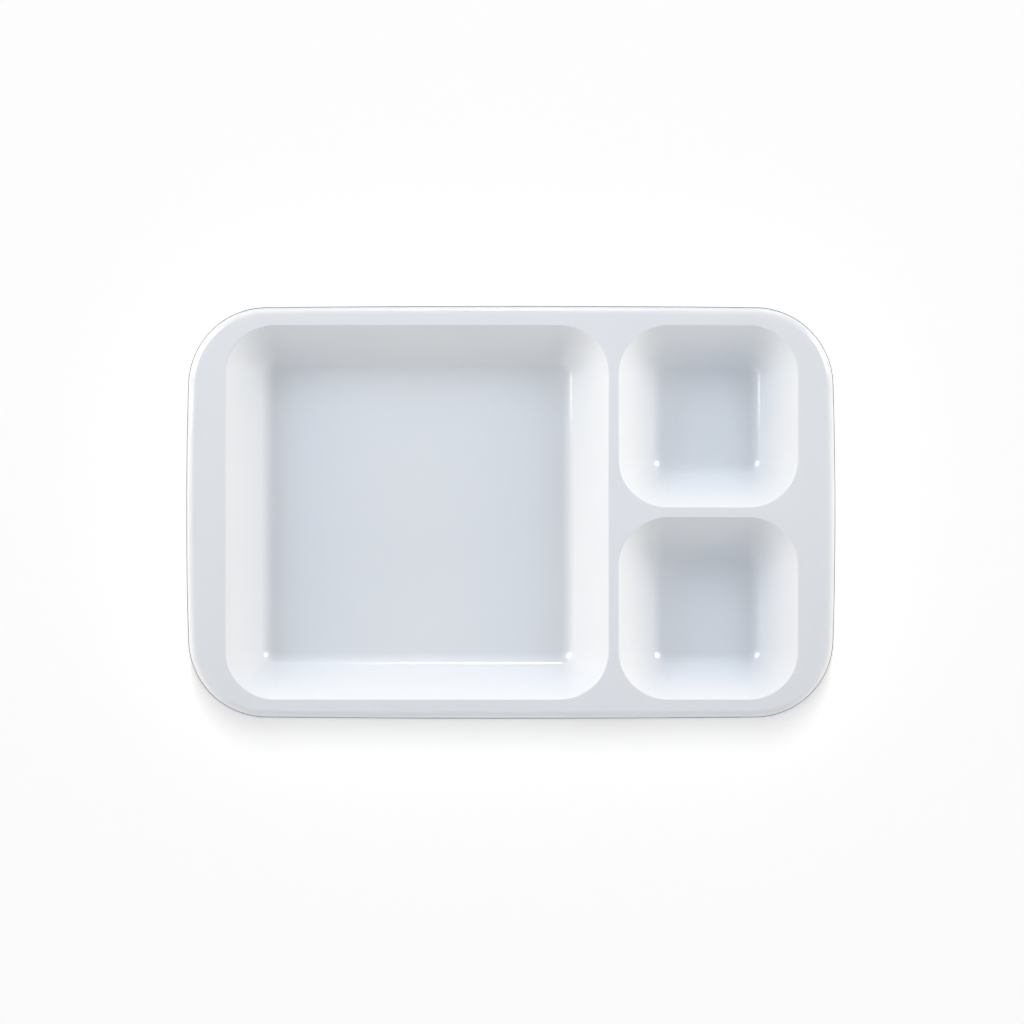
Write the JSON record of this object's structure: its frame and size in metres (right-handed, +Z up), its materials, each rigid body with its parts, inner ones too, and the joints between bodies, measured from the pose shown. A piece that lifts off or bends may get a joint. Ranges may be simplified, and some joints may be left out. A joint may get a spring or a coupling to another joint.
{
  "type": "divided compartment plate",
  "caption": "Glossy white rectangular plate with rounded corners, a large square well and smaller square wells beside it, for serving foods apart.",
  "frame": {"origin": "middle of the plate's outline, on the surface that its foot rings stand on", "axes": "+X along the plate's length, from the large well to the small wells; +Y across its width; +Z up, out of the wells"},
  "size_m": [0.305, 0.194, 0.0245],
  "materials": {
    "moulded_body": "white moulded melamine, satin underside",
    "glaze": "hard white high-gloss melamine glaze"
  },
  "bodies": {
    "root": {"melamine_body": "moulded_body", "glaze_overlay": "glaze"}
  },
  "joints": []
}
